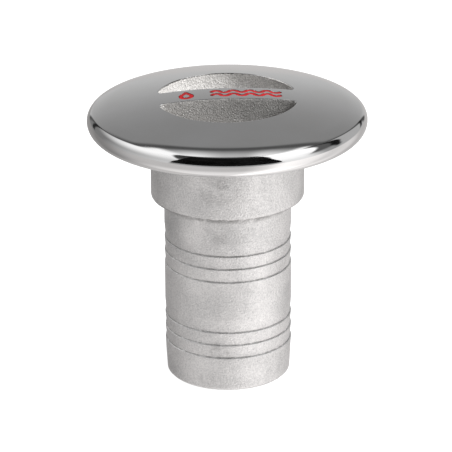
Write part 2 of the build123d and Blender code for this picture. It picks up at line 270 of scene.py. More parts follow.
def pocket_painted_shade(g, place):
    """Light painted shade, more of it at the right end and in the front pocket, broken by noise.
    """
    spot = g.node("ShaderNodeSeparateXYZ", {0: place})
    right = g.step(spot.outputs[0], -12 * MM, 16 * MM, 0.0, 0.30)
    front = g.step(spot.outputs[1], 2 * MM, -2 * MM, 0.0, 0.42)
    patchy = g.step(g.grain(place, 300, 4, 0.6), 0.25, 0.6, 0.6, 1.0)
    return g.math("MULTIPLY", g.math("ADD", right, front), patchy)


def body_skin(g):
    light, dark = (0.92, 0.91, 0.905), (0.60, 0.60, 0.60)
    # the tail's mask paints shade under the collar and along the barb ledges, plus stains
    return cast_skin(g, light, dark, 0.36, 0.50, 0.20, tail_painted_shade_and_stains)


def pocket_skin(g):
    light, dark = (0.88, 0.86, 0.84), (0.36, 0.35, 0.34)
    # the pockets' mask paints shade, darker towards the right end and in the front pocket
    return cast_skin(g, light, dark, 0.34, 0.48, 0.36, pocket_painted_shade, metal=0.45)


def inner_skin(g):
    return cast_skin(g, (0.60, 0.59, 0.58), (0.40, 0.39, 0.38), 0.40, 0.55, 0.10)


def turned_steel(g):
    """Lathe-turned stainless: fine rings round the axis."""
    place = g.place()
    rings = g.grain(place, 1400, 2, 0.5, (0.05, 0.05, 1.0))
    haze = g.grain(place, 240, 3)
    return {
        "Base Color": g.ramp(haze, [(0.3, (0.62, 0.62, 0.62)), (0.7, (0.72, 0.715, 0.71))]),
        "Metallic": 1.0,
        "Roughness": g.step(haze, 0.35, 0.7, 0.22, 0.38),
        "Normal": g.bump(rings, 0.35, 0.03),
    }


def wire_steel(g):
    """Drawn wire with light handling marks."""
    place = g.place()
    haze = g.grain(place, 420, 4)
    marks = g.grain(place, 2600, 2)
    return {
        "Base Color": g.ramp(haze, [(0.3, (0.66, 0.66, 0.67)), (0.72, (0.78, 0.775, 0.77))]),
        "Metallic": 1.0,
        "Roughness": g.step(marks, 0.3, 0.75, 0.14, 0.34),
        "Normal": g.bump(marks, 0.2, 0.02),
    }


def seal_rubber(g):
    """Black nitrile with a dusty bloom."""
    place = g.place()
    bloom = g.grain(place, 260, 4)
    pores = g.grain(place, 3000, 2)
    return {
        "Base Color": g.ramp(bloom, [(0.35, (0.016, 0.016, 0.017)), (0.8, (0.05, 0.05, 0.05))]),
        "Roughness": g.step(bloom, 0.3, 0.7, 0.42, 0.62),
        "Specular IOR Level": 0.4,
        "Normal": g.bump(pores, 0.3, 0.03),
    }


def gasket_rubber(g):
    """Closed-cell neoprene sheet with a cloth-pressed skin."""
    place = g.place()
    cells = g.cells(place, 2200)
    bloom = g.grain(place, 150, 4)
    return {
        "Base Color": g.ramp(bloom, [(0.3, (0.022, 0.022, 0.023)), (0.8, (0.06, 0.058, 0.056))]),
        "Roughness": g.step(bloom, 0.3, 0.7, 0.68, 0.85),
        "Specular IOR Level": 0.3,
        "Normal": g.bump(cells, 0.45, 0.06),
    }


def red_enamel(g):
    """Glossy paint that has sunk a little unevenly into the marks."""
    place = g.place()
    pool = g.grain(place, 700, 3)
    return {
        "Base Color": g.ramp(pool, [(0.3, (0.22, 0.001, 0.003)), (0.7, (0.44, 0.004, 0.008))]),
        "Roughness": g.step(pool, 0.3, 0.7, 0.26, 0.40),
        "Specular IOR Level": 0.12,
        "Normal": g.bump(pool, 0.3, 0.05),
    }


def groove_wall(g):
    """Dull engraved steel with enamel run up its walls."""
    place = g.place()
    run = g.grain(place, 900, 3)
    return {
        "Base Color": g.ramp(run, [(0.35, (0.05, 0.012, 0.012)), (0.65, (0.20, 0.008, 0.01))]),
        "Roughness": g.step(run, 0.3, 0.7, 0.5, 0.7),
        "Specular IOR Level": 0.2,
        "Normal": g.bump(run, 0.3, 0.05),
    }


def acetal(g):
    place = g.place()
    haze = g.grain(place, 500, 3)
    return {
        "Base Color": g.ramp(haze, [(0.3, (0.74, 0.72, 0.66)), (0.7, (0.84, 0.82, 0.77))]),
        "Roughness": g.step(haze, 0.3, 0.7, 0.35, 0.5),
        "Normal": g.bump(g.grain(place, 2500, 2), 0.2, 0.02),
    }


SKINS = {
    name.__name__: material(name.__name__, name)
    for name in (
        polished_steel, body_skin, pocket_skin, inner_skin, turned_steel,
        wire_steel, seal_rubber, gasket_rubber, red_enamel, groove_wall, acetal,
    )
}


# ---- mesh helpers ----
def smooth_min(a, b, soft):
    """Smaller of two distances, with the corner between them rounded."""
    share = np.clip(0.5 + 0.5 * (b - a) / soft, 0, 1)
    return b * (1 - share) + a * share - soft * share * (1 - share)


def fractal(points, size_mm, octaves=2):
    """Noise at each point, about -1 to 1, with features of the given size."""
    values = np.zeros(len(points))
    for octave in range(octaves):
        scale = 2**octave / size_mm
        weight = 0.5**octave
        values += weight * np.array([noise.noise(Vector(p)) for p in points * scale])
    return values


def arc(centre, radius, start_deg, end_deg, steps):
    """Points (r, z) along an arc, both ends included."""
    turns = np.radians(np.linspace(start_deg, end_deg, steps + 1))
    return [(centre[0] + radius * math.cos(t), centre[1] + radius * math.sin(t)) for t in turns]


def rounded(points, step=0.5):
    """Outline from (r, z, corner radius) points: corners as arcs, straights divided."""
    corners = []
    for index, (r, z, radius) in enumerate(points):
        here = np.array((r, z), float)
        if radius == 0 or index in (0, len(points) - 1):
            corners.append([here])
            continue
        before = np.array(points[index - 1][:2], float) - here
        after = np.array(points[index + 1][:2], float) - here
        before_unit = before / np.linalg.norm(before)
        after_unit = after / np.linalg.norm(after)
        half = math.acos(np.clip(before_unit @ after_unit, -1, 1)) / 2
        shorter = min(np.linalg.norm(before), np.linalg.norm(after))
        back = min(radius / math.tan(half), 0.48 * shorter)
        start, end = here + before_unit * back, here + after_unit * back
        steps = 4
        curve = []
        for k in range(steps + 1):
            t = k / steps
            curve.append((1 - t) ** 2 * start + 2 * t * (1 - t) * here + t**2 * end)
        corners.append(curve)
    outline = []
    for corner in corners:
        if outline:
            gap = corner[0] - outline[-1]
            pieces = max(1, int(np.linalg.norm(gap) / step))
            outline += [outline[-1] + gap * k / pieces for k in range(1, pieces)]
        outline += corner
    return [tuple(p) for p in outline]


def turned(outline, angles):
    """Vertices and quads of an outline of (r, z) turned through a list of angles."""
    count = len(angles)
    outline = np.array(outline)
    cos, sin = np.cos(angles), np.sin(angles)
    points = np.stack(
        [
            np.outer(outline[:, 0], cos),
            np.outer(outline[:, 0], sin),
            np.repeat(outline[:, 1:], count, axis=1),
        ],
        -1,
    ).reshape(-1, 3)
    quads = []
    for ring in range(len(outline) - 1):
        low, high = ring * count, (ring + 1) * count
        for k in range(count):
            after = (k + 1) % count
            quads.append((low + k, low + after, high + after, high + k))
    return points, quads


class Shape:
    """Collects patches of mesh, each with a material, into one welded piece."""

    def __init__(self):
        self.points, self.faces, self.skins = [], [], []
        self.count = 0

    def add(self, points, faces, skin=0):
        """skin is a material index, or one for each face."""
        self.points.append(np.asarray(points, float))
        self.faces += [tuple(int(i) + self.count for i in face) for face in faces]
        self.skins += [skin] * len(faces) if isinstance(skin, int) else list(skin)
        self.count += len(points)

    def build(self, name, skins, body, replaces, sharp_deg=35.0):
        mesh = bpy.data.meshes.new(name)
        points = np.concatenate(self.points) * MM
        mesh.from_pydata(points.tolist(), [], self.faces)
        mesh.polygons.foreach_set("material_index", self.skins)
        for skin in skins:
            mesh.materials.append(SKINS[skin])
        work = bmesh.new()
        work.from_mesh(mesh)
        bmesh.ops.remove_doubles(work, verts=work.verts, dist=1e-7)
        bmesh.ops.recalc_face_normals(work, faces=work.faces)
        work.to_mesh(mesh)
        work.free()
        mesh.shade_smooth()
        mesh.set_sharp_from_angle(angle=math.radians(sharp_deg))
        piece = bpy.data.objects.new(name, mesh)
        bpy.context.scene.collection.objects.link(piece)
        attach(piece, body)
        if replaces:
            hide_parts(*replaces)
        return piece


# ---- marks on the ridge ----
MARK_LINE, MARK_DEPTH = 1.05, 0.6
DROP_X, DROP_R, DROP_HEIGHT = -12.8, 2.25, 6.2
WAVE_X = (-4.7, 16.6)
WAVE_COUNT, WAVE_AMPLITUDE, WAVE_ROWS_Y = 4, 0.85, (1.45, -1.45)


def wave_line(row_y):
    """Middle of one wavy line, as points along its even arcs."""
    half = (WAVE_X[1] - WAVE_X[0]) / (2 * WAVE_COUNT)
    radius = ((half / 2) ** 2 + WAVE_AMPLITUDE**2) / (2 * WAVE_AMPLITUDE)
    reach = math.asin(half / 2 / radius)
    points = []
    for index in range(2 * WAVE_COUNT):
        side = 1 if index % 2 == 0 else -1
        centre_x = WAVE_X[0] + (index + 0.5) * half
        centre_y = row_y + side * (WAVE_AMPLITUDE - radius)
        for turn in np.linspace(-reach, reach, 14):
            across, along = radius * math.sin(turn), side * radius * math.cos(turn)
            points.append((centre_x + across, centre_y + along))
    return np.array(points)


def distance_to_line(x, y, line):
    """Distance of each point to a line of close points."""
    best = np.full(x.shape, 1e9)
    for start, end in zip(line[:-1], line[1:]):
        along = end - start
        share = ((x - start[0]) * along[0] + (y - start[1]) * along[1]) / (along @ along + 1e-12)
        share = np.clip(share, 0, 1)
        gap = np.hypot(x - start[0] - share * along[0], y - start[1] - share * along[1])
        best = np.minimum(best, gap)
    return best


def drop_line():
    """Outline of the droplet, as close points."""
    low_y = -DROP_HEIGHT / 2 + DROP_R
    lean = math.asin(DROP_R / (DROP_HEIGHT / 2 - low_y))
    turns = np.linspace(lean, -math.pi - lean, 50)
    points = [(DROP_X + DROP_R * math.cos(t), low_y + DROP_R * math.sin(t)) for t in turns]
    tip = (DROP_X, DROP_HEIGHT / 2)
    return np.array([tip] + points + [tip])


def mark_distance(x, y):
    """Distance outside the engraved strokes; below zero inside them."""
    best = np.full(x.shape, 1e9)
    for row_y in WAVE_ROWS_Y:
        best = np.minimum(best, distance_to_line(x, y, wave_line(row_y)) - MARK_LINE / 2)
    outline = drop_line()
    edge = distance_to_line(x, y, outline)
    low_y = -DROP_HEIGHT / 2 + DROP_R
    reach = DROP_HEIGHT / 2 - low_y
    lean = math.asin(DROP_R / reach)
    in_circle = np.hypot(x - DROP_X, y - low_y) < DROP_R
    cone_half = (DROP_HEIGHT / 2 - y) * math.tan(lean)
    join_y = low_y + DROP_R * math.sin(lean)
    in_cone = (y > join_y) & (y < DROP_HEIGHT / 2) & (np.abs(x - DROP_X) < cone_half)
    inside = in_circle | in_cone
    signed = np.where(inside, edge, -edge)
    drop = np.maximum(-signed, signed - MARK_LINE)
    return np.minimum(best, drop)


# ---- cap: crown, ridge and pockets as one height surface ----
def crown_solid(x, y, z):
    """Distance inside the cap's metal near the crown, with rounded edges."""
    r = np.hypot(x, y)
    dome = DOME_R - np.sqrt(r**2 + (z - DOME_Z) ** 2)
    scoop_r, scoop_z = POCKET_R - SCOOP_R, POCKET_FLOOR_Z + SCOOP_R
    scoop = SCOOP_R - np.hypot(r - scoop_r, z - scoop_z)
    bowl = np.where(z > scoop_z, POCKET_R - r, np.where(r > scoop_r, scoop, z - POCKET_FLOOR_Z))
    wall = np.abs(y) - RIDGE_HALF - np.maximum(CROWN_Z - z, 0) * RIDGE_DRAFT
    pocket = smooth_min(bowl, wall, ROOT_SOFT)
    return smooth_min(dome, -pocket, EDGE_SOFT)


def crown_height(x, y):
    """Height of the cap's top surface at each place."""
    low = np.full(x.shape, POCKET_FLOOR_Z - 1.0)
    high = DOME_Z + np.sqrt(DOME_R**2 - x**2 - y**2) + 0.01
    for _ in range(46):
        middle = (low + high) / 2
        solid = crown_solid(x, y, middle) > 0
        low = np.where(solid, middle, low)
        high = np.where(solid, high, middle)
    return (low + high) / 2


def graded(total, fine, coarse, growth=1.22):
    """Steps from 0 to 1, fine at both ends and coarse in the middle."""
    steps, size = [], fine
    while sum(steps) < total / 2:
        steps.append(size)
        size = min(size * growth, coarse)
    places = np.concatenate([[0], np.cumsum(steps)])
    places = places / places[-1] * 0.5
    return np.concatenate([places, 1 - places[-2::-1]])


def crown_grid():
    """Places (x, y) of a grid that follows the ridge's edges and the pocket arcs."""
    tip_x = math.sqrt(POCKET_R**2 - RIDGE_HALF**2)
    u = np.linspace(-1, 1, 301)
    s = 0.8 * u + 0.2 * np.sin(math.pi / 2 * u)
    edge_x = tip_x * s
    arc_y = np.sqrt(np.maximum(POCKET_R**2 - edge_x**2, RIDGE_HALF**2))
    pocket_share = graded(POCKET_R - RIDGE_HALF, 0.06, 0.55)
    ridge_y = (graded(2 * RIDGE_HALF, 0.06, 0.14) * 2 - 1) * RIDGE_HALF
    rows = []
    for share in pocket_share[:0:-1]:
        rows.append((edge_x, -(RIDGE_HALF + (arc_y - RIDGE_HALF) * share)))
    for y in ridge_y:
        rows.append((s * math.sqrt(POCKET_R**2 - y**2), np.full_like(s, y)))
    for share in pocket_share[1:]:
        rows.append((edge_x, RIDGE_HALF + (arc_y - RIDGE_HALF) * share))
    x = np.array([row[0] for row in rows])
    y = np.array([row[1] for row in rows])
    return x, y, len(pocket_share) - 1


def grain_points(points, mask, coarse_mm, fine_mm, depth_mm):
    """Uneven cast skin: heights to add at the masked points."""
    lift = np.zeros(len(points))
    chosen = points[mask]
    rough = 0.7 * fractal(chosen, coarse_mm) + 0.5 * fractal(chosen + 37.0, fine_mm)
    lift[mask] = depth_mm * rough
    return lift


def build_crown(shape):
    """Inner part of the crown; returns the angles of its round edge."""
    x, y, pocket_rows = crown_grid()
    rows, columns = x.shape
    z = crown_height(x, y)
    dome = DOME_Z + np.sqrt(DOME_R**2 - x**2 - y**2)
    mark = mark_distance(x, y)
    groove = np.clip((0.16 - mark) / 0.14, 0, 1)
    groove = groove**2 * (3 - 2 * groove)
    z = z - (MARK_DEPTH + 0.02) * groove * (dome - z < 0.5)
    deep = (dome - z) > 0.07
    cast = deep & (np.abs(y) > RIDGE_HALF - 0.2)
    points = np.stack([x, y, z], -1).reshape(-1, 3)
    lift = grain_points(points, cast.reshape(-1), 1.6, 0.55, 0.035)
    points[:, 2] += lift
    quads, skins = [], []
    for row in range(rows - 1):
        for column in range(columns - 1):
            here = row * columns + column
            quad = (here, here + 1, here + columns + 1, here + columns)
            if cast[row:row + 2, column:column + 2].all():
                skins.append(1)
            elif groove[row:row + 2, column:column + 2].max() > 0.3:
                skins.append(3)
            else:
                skins.append(0)
            quads.append(quad)
    shape.add(points, quads, skins)
    border = [(x[0, k], y[0, k]) for k in range(columns)]
    side = range(pocket_rows, rows - pocket_rows)
    border += [(x[k, -1], y[k, -1]) for k in side][1:-1]
    border += [(x[-1, k], y[-1, k]) for k in range(columns - 1, -1, -1)]
    border += [(x[k, 0], y[k, 0]) for k in reversed(side)][1:-1]
    return np.unwrap([math.atan2(py, px) for px, py in border])


def crown_ring(shape, angles):
    """Crown outside the pockets, out to where the flat lathe outline takes over."""
    radii = POCKET_R + np.array([0, 0.05, 0.1, 0.17, 0.26, 0.38, 0.55, 0.8, 1.15, 1.6])
    x = np.outer(radii, np.cos(angles))
    y = np.outer(radii, np.sin(angles))
    points = np.stack([x, y, crown_height(x, y)], -1).reshape(-1, 3)
    _, quads = turned([(r, 0) for r in radii], angles)
    shape.add(points, quads, 0)
    return radii[-1]


def cap_outline(start_r):
    """Rest of the cap in section, from the crown round the rim to the screw hole."""
    radii = np.linspace(start_r, DOME_EDGE_R, 20)
    crown = [(r, DOME_Z + math.sqrt(DOME_R**2 - r**2)) for r in radii]
    edge_deg, nose_deg = 90 - math.degrees(DOME_EDGE), 90 - math.degrees(NOSE_START)
    roll = arc((ROLL_AT_R, ROLL_AT_Z), ROLL_R, edge_deg, nose_deg, 16)
    upper = arc((RIM_R - NOSE_R, EQUATOR_Z), NOSE_R, nose_deg, 0, 26)
    lower = arc((RIM_R - FOOT_R, EQUATOR_Z), FOOT_R, 0, -90, 22)
    return crown + roll[1:] + upper[1:] + lower[1:]


def cap_underside():
    """Skirt, land, relief, shoulder, plug and boss, with small machined edges."""
    wall = 2.6

    def under(r):
        return DOME_Z + math.sqrt((DOME_R - wall) ** 2 - r**2)

    return rounded(
        [
            (RIM_R - FOOT_R, SKIRT_Z, 0), (39.4, SKIRT_Z, 0.15), (39.4, 4.3, 0.2),
            (39.1, 4.3, 0), (39.1, 5.2, 0), (37.9, 5.2, 0), (37.9, 4.3, 0),
            (37.6, 4.3, 0.1), (37.6, under(37.6), 0.5), (31.0, under(31.0), 0),
            (24.5, under(24.5), 0.8), (24.5, 4.3, 0.2), (22.9, 4.3, 0.2),
            (22.9, 2.6, 0.25), (PLUG_R, 2.6, 0.2), (PLUG_R, PLUG_Z, 0.5),
            (PLUG_BORE_R, PLUG_Z, 0.3), (PLUG_BORE_R, -1.0, 1.2), (5.6, -1.0, 0.8),
            (5.6, -4.0, 0.4), (2.05, -4.0, 0.15), (2.05, 3.99, 0), (0.02, 3.99, 0),
        ],
        1.2,
    )


def rib_patch(wall_r, side, low_z, high_z, start_deg):
    """One start of the thread: a rounded helical rib that fades at both ends."""
    turn_deg = 360 * (high_z - low_z) / THREAD_LEAD
    steps = int(turn_deg / 3)
    section = [(-0.3, -1.1), (0.0, -1.1), (0.55, -0.84), (0.95, -0.66), (1.15, -0.42)]
    section += [(1.15, 0.42), (0.95, 0.66), (0.55, 0.84), (0.0, 1.1), (-0.3, 1.1)]
    points, quads = [], []
    for k in range(steps + 1):
        share = k / steps
        fade = min(1.0, share / 0.06, (1 - share) / 0.06)
        angle = math.radians(start_deg + turn_deg * share)
        z = low_z + (high_z - low_z) * share
        for out, along in section:
            reach = out if out < 0 else out * fade
            r = wall_r + side * reach
            points.append((r * math.cos(angle), r * math.sin(angle), z + along))
    count = len(section)
    for k in range(steps):
        for m in range(count):
            after = (m + 1) % count
            here = k * count
            quads.append((here + m, here + after, here + count + after, here + count + m))
    quads.append(tuple(range(count)))
    quads.append(tuple(steps * count + m for m in reversed(range(count))))
    return points, quads


def add_thread(shape, wall_r, side, low_z, high_z, phase_deg, skin):
    for start in range(THREAD_STARTS):
        turn = phase_deg + start * 360 / THREAD_STARTS
        shape.add(*rib_patch(wall_r, side, low_z, high_z, turn), skin)


def box_patch(low, high, turn_deg):
    """Plain block, turned round the axis."""
    sides = list(zip(low, high))
    corners = [(x, y, z) for x in sides[0] for y in sides[1] for z in sides[2]]
    turn = Matrix.Rotation(math.radians(turn_deg), 3, "Z")
    points = [turn @ Vector(corner) for corner in corners]
    faces = [(0, 1, 3, 2), (4, 6, 7, 5), (0, 4, 5, 1), (2, 3, 7, 6), (0, 2, 6, 4), (1, 5, 7, 3)]
    return points, faces


def build_cap():
    shape = Shape()
    angles = build_crown(shape)
    ring_r = crown_ring(shape, angles)
    shape.add(*turned(cap_outline(ring_r), angles), 0)
    shape.add(*turned(cap_underside(), angles), 2)
    add_thread(shape, PLUG_R, 1, -12.4, -2.2, 0, 2)
    for index in range(6):
        shape.add(*box_patch((24.4, -1.2, 4.35), (37.7, 1.2, 5.6), 30 + 60 * index), 2)
    skins = ["polished_steel", "pocket_skin", "inner_skin", "groove_wall"]
    return shape.build("cap_crown", skins, "cap", ["cap_casting"])


# ---- body casting ----
def tail_outline():
    """Outer outline of collar and hose tail, from the flange down to the bore."""
    edge = 0.12
    points = [(COLLAR_R, FLANGE_LOW_Z, 0), (COLLAR_R, COLLAR_Z, 0.8), (TAIL_R, COLLAR_Z, 0.15)]
    for index, ledge in enumerate(BARBS_Z):
        if index % 3 == 0:
            points.append((TAIL_R, ledge + BARB_PITCH, 1.0))
        points.append((TAIL_R - BARB_STEP, ledge, edge))
        points.append((TAIL_R, ledge - BARB_LIP, edge))
    points += [(TAIL_END_R, FLOOR_Z + 0.8, 0.6), (TAIL_END_R - 0.8, FLOOR_Z, 0.3)]
    return points


def bore_outline():
    return [
        (17.8, FLOOR_Z, 0.25), (17.0, FLOOR_Z + 0.8, 0.3), (17.0, -23.6, 0.6),
        (15.0, -21.6, 0.5), (15.0, -18.6, 0.5), (NECK_R - 1.6, -15.0, 0.4),
        (NECK_R, -15.0, 0.3), (NECK_R, SEAT_Z, 0.25), (SEAT_R, SEAT_Z, 0.2),
        (SEAT_R, FLANGE_TOP_Z, 0),
    ]


def loop_points(radius, z, centre=(0, 0), count=48):
    turns = np.linspace(0, 2 * math.pi, count, endpoint=False)
    return [(centre[0] + radius * math.cos(t), centre[1] + radius * math.sin(t), z) for t in turns]


def flat_patch(shape, loops, skin):
    """Flat face between loops of points: the first two are its rims, others are holes."""
    work = bmesh.new()
    for loop in loops:
        made = [work.verts.new(p) for p in loop]
        for k, vert in enumerate(made):
            work.edges.new((vert, made[(k + 1) % len(made)]))
    bmesh.ops.triangle_fill(work, use_beauty=True, use_dissolve=False, edges=work.edges[:])
    work.verts.index_update()
    points = [v.co[:] for v in work.verts]
    faces = [tuple(v.index for v in f.verts) for f in work.faces]
    work.free()
    shape.add(points, faces, skin)


def build_flange(shape, segments, skin):
    """Flange plate with countersunk screw holes."""
    places = []
    for k in range(SCREWS):
        turn = math.radians(45 + 360 * k / SCREWS)
        places.append((SCREW_CIRCLE_R * math.cos(turn), SCREW_CIRCLE_R * math.sin(turn)))
    soft = 0.4
    top = [loop_points(SEAT_R, FLANGE_TOP_Z, count=segments)]
    top += [loop_points(FLANGE_R - soft, FLANGE_TOP_Z, count=segments)]
    low = [loop_points(COLLAR_R, FLANGE_LOW_Z, count=segments)]
    low += [loop_points(FLANGE_R - soft, FLANGE_LOW_Z, count=segments)]
    for place in places:
        top.append(loop_points(SINK_R, FLANGE_TOP_Z, place))
        low.append(loop_points(SCREW_R, FLANGE_LOW_Z, place))
        sink_z = FLANGE_TOP_Z - SINK_R + SCREW_R
        wall = [(SINK_R, FLANGE_TOP_Z), (SCREW_R, sink_z), (SCREW_R, FLANGE_LOW_Z)]
        points, quads = turned(wall, np.linspace(0, 2 * math.pi, 48, endpoint=False))
        points[:, :2] += place
        shape.add(points, quads, skin)
    flat_patch(shape, top, skin)
    flat_patch(shape, low, skin)
    rim = rounded(
        [
            (FLANGE_R - soft, FLANGE_LOW_Z, 0), (FLANGE_R, FLANGE_LOW_Z + soft, 0.2),
            (FLANGE_R, FLANGE_TOP_Z - soft, 0.2), (FLANGE_R - soft, FLANGE_TOP_Z, 0),
        ],
        1.0,
    )
    shape.add(*turned(rim, np.linspace(0, 2 * math.pi, segments, endpoint=False)), skin)


def build_body():
    segments = 300
    angles = np.linspace(0, 2 * math.pi, segments, endpoint=False)
    shape = Shape()
    points, quads = turned(rounded(tail_outline(), 0.5), angles)
    # uneven cast skin, and a faint parting line with small nubs at the ledges
    out = np.hypot(points[:, 0], points[:, 1])
    free = (points[:, 2] < FLANGE_LOW_Z - 0.2) & (points[:, 2] > FLOOR_Z + 0.3)
    lift = grain_points(points, free, 7.0, 1.1, 0.028)
    seam_angle = math.radians(-90 - 11)
    across = (np.arctan2(points[:, 1], points[:, 0]) - seam_angle) * out
    line = np.exp(-((across / 0.45) ** 2))
    nubs = np.zeros(len(points))
    for ledge in BARBS_Z:
        nubs += np.exp(-(((points[:, 2] - ledge + 0.25) / 0.35) ** 2))
    lift += free * line * (0.03 + 0.16 * nubs)
    points[:, :2] *= (1 + lift / out)[:, None]
    shape.add(points, quads, 0)
    shape.add(*turned(rounded([(TAIL_END_R - 0.8, FLOOR_Z, 0)] + bore_outline(), 1.2), angles), 1)
    build_flange(shape, segments, 1)
    turn_deg = 360 * (-12.6 + THREAD_PITCH / 2 + 12.4) / THREAD_LEAD
    add_thread(shape, NECK_R, -1, -12.6, -1.6, turn_deg, 1)
    return shape.build(
        "neck_and_hose_tail", ["body_skin", "inner_skin"], "deck_fitting",
        ["body_casting"],
    )


# ---- CAD nodes that keep their mesh ----
KEPT = {
    "deck_gasket": "gasket_rubber",
    "cap_o_ring": "seal_rubber",
    "rim_seal": "seal_rubber",
    "drop_enamel": "red_enamel",
    "wave_enamel": "red_enamel",
    "swivel_screw": "turned_steel",
    "swivel_washer": "acetal",
    "swivel_plate": "turned_steel",
    "upper_split_ring": "wire_steel",
    "chain_links": "wire_steel",
    "lower_split_ring": "wire_steel",
    "toggle_bar": "turned_steel",
}


def dress_kept_nodes():
    for name, skin in KEPT.items():
        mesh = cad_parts[name].data
        mesh.materials.clear()
        mesh.materials.append(SKINS[skin])
        mesh.shade_smooth()
        mesh.set_sharp_from_angle(angle=math.radians(30))


# ---- studio ----
def build_floor():
    """Plain pale table top, lit evenly."""
    angles = np.linspace(0, 2 * math.pi, 64, endpoint=False)
    points, quads = turned([(0.01, 0), (0.5, 0), (4, 0), (30, 0)], angles)
    mesh = bpy.data.meshes.new("floor")
    mesh.from_pydata([(x, y, FLOOR_Z * MM - 0.00005) for x, y, _ in points], [], quads)
    floor = bpy.data.objects.new("floor", mesh)
    bpy.context.scene.collection.objects.link(floor)
    skin = bpy.data.materials.new("pale_table")
    skin.use_nodes = True
    g = Graph(skin.node_tree)
    shine = g.node("ShaderNodeEmission", {"Color": (1, 1, 1, 1), "Strength": 0.93})
    matt = g.node("ShaderNodeBsdfDiffuse", {"Color": (0.3, 0.3, 0.3, 1)})
    both = g.node("ShaderNodeAddShader", {0: shine.outputs[0], 1: matt.outputs[0]})
    output = g.node("ShaderNodeOutputMaterial")
    g.tree.links.new(both.outputs[0], output.inputs[0])
    mesh.materials.append(skin)
    # the metal mirrors the studio's painted lower half instead
    floor.visible_glossy = False
    floor.visible_diffuse = False


def build_flag():
    """Black card bent round the front of the rim, seen only by the mirror faces.

    Each row is a radius, a height and how far the card reaches to each side.
    """
    rows = (
        (60.5, 9.2, 30.0), (61.0, 16.0, 30.0), (59.0, 22.0, 28.5),
        (54.0, 26.0, 27.0), (46.0, 28.0, 25.0), (38.3, 27.5, 23.6),
    )
    points, quads, count = [], [], 25
    for radius, height, reach in rows:
        for turn in np.radians(np.linspace(-reach, 0.96 * reach, count) - VIEW_TURN):
            place = Vector((radius * math.sin(turn), -radius * math.cos(turn), height))
            points.append(place * MM)
    for row in range(len(rows) - 1):
        for k in range(count - 1):
            here = row * count + k
            quads.append((here, here + 1, here + count + 1, here + count))
    mesh = bpy.data.meshes.new("black_flag")
    mesh.from_pydata(points, [], quads)
    flag = bpy.data.objects.new("black_flag", mesh)
    bpy.context.scene.collection.objects.link(flag)
    skin = bpy.data.materials.new("black_card")
    skin.use_nodes = True
    g = Graph(skin.node_tree)
    fibre = g.grain(g.place(), 60, 3)
    card = g.node("ShaderNodeBsdfDiffuse", {"Color": g.ramp(fibre, [(0.3, 0.004), (0.7, 0.02)])})
    output = g.node("ShaderNodeOutputMaterial")
    g.tree.links.new(card.outputs[0], output.inputs[0])
    mesh.materials.append(skin)
    flag.visible_camera = False
    flag.visible_diffuse = False
    flag.visible_shadow = False


class Studio:
    """Surroundings seen by the metal, as flat panels tested by direction.

    Bearings are level and in degrees: 0 faces the fitting's front, 90 is its
    right side and 180 is behind it.
    """

    def __init__(self, graph, turn_deg):
        self.g = graph
        self.turn_deg = turn_deg
        self.direction = graph.node("ShaderNodeTexCoord").outputs["Generated"]
        self.z = graph.node("ShaderNodeSeparateXYZ", {0: self.direction}).outputs[2]
        self.colour = (0.0, 0.0, 0.0)

    def toward(self, bearing_deg):
        """How far a direction points to a level bearing, -1 to 1."""
        turn = math.radians(bearing_deg + self.turn_deg)
        level = (math.sin(turn), -math.cos(turn), 0)
        values = {0: self.direction, 1: level}
        made = self.g.node("ShaderNodeVectorMath", values, operation="DOT_PRODUCT")
        return made.outputs["Value"]

    def past(self, bearing_deg, soft=0.02, lean=0.0):
        """1 on the clockwise side of a bearing; the edge may lean with height."""
        across = self.toward(bearing_deg + 90)
        if lean:
            across = self.g.math("SUBTRACT", across, self.g.math("MULTIPLY", self.z, lean))
        return self.g.step(across, -soft, soft)

    def around(self, bearing_deg):
        """Like toward, but the same at every height."""
        height = self.g.math("MULTIPLY", self.z, self.z)
        level = self.g.math("SQRT", self.g.math("SUBTRACT", 1.0001, height))
        return self.g.math("DIVIDE", self.toward(bearing_deg), level)

    def below(self, bearing_deg, top_deg, soft=0.03):
        """1 under a straight edge that is highest at a bearing."""
        slope = math.tan(math.radians(top_deg))
        edge = self.g.math("MULTIPLY", self.toward(bearing_deg), slope)
        return self.g.step(self.g.math("SUBTRACT", edge, self.z), -soft, soft)

    def level_below(self, top_deg, soft=0.03):
        """1 under a level cone at a height."""
        top = math.sin(math.radians(top_deg))
        return self.g.step(self.g.math("SUBTRACT", top, self.z), -soft, soft)

    def between(self, start_deg, start_soft, end_deg, end_soft, lean=(0.0, 0.0)):
        """1 from one bearing clockwise to another."""
        past_end = self.past(end_deg, end_soft, lean[1])
        return self.both(self.past(start_deg, start_soft, lean[0]), self.without(past_end))

    def both(self, *shares):
        share = shares[0]
        for other in shares[1:]:
            share = self.g.math("MULTIPLY", share, other)
        return share

    def without(self, share):
        return self.g.math("SUBTRACT", 1.0, share)

    def fade(self, share, low, high):
        """Grey level from low to high as a share goes from 0 to 1."""
        return self.g.math("ADD", self.g.math("MULTIPLY", share, high - low), low)

    def paint(self, share, value):
        """Lay a colour or grey level over what is there."""
        self.colour = self.g.blend(share, self.colour, value)


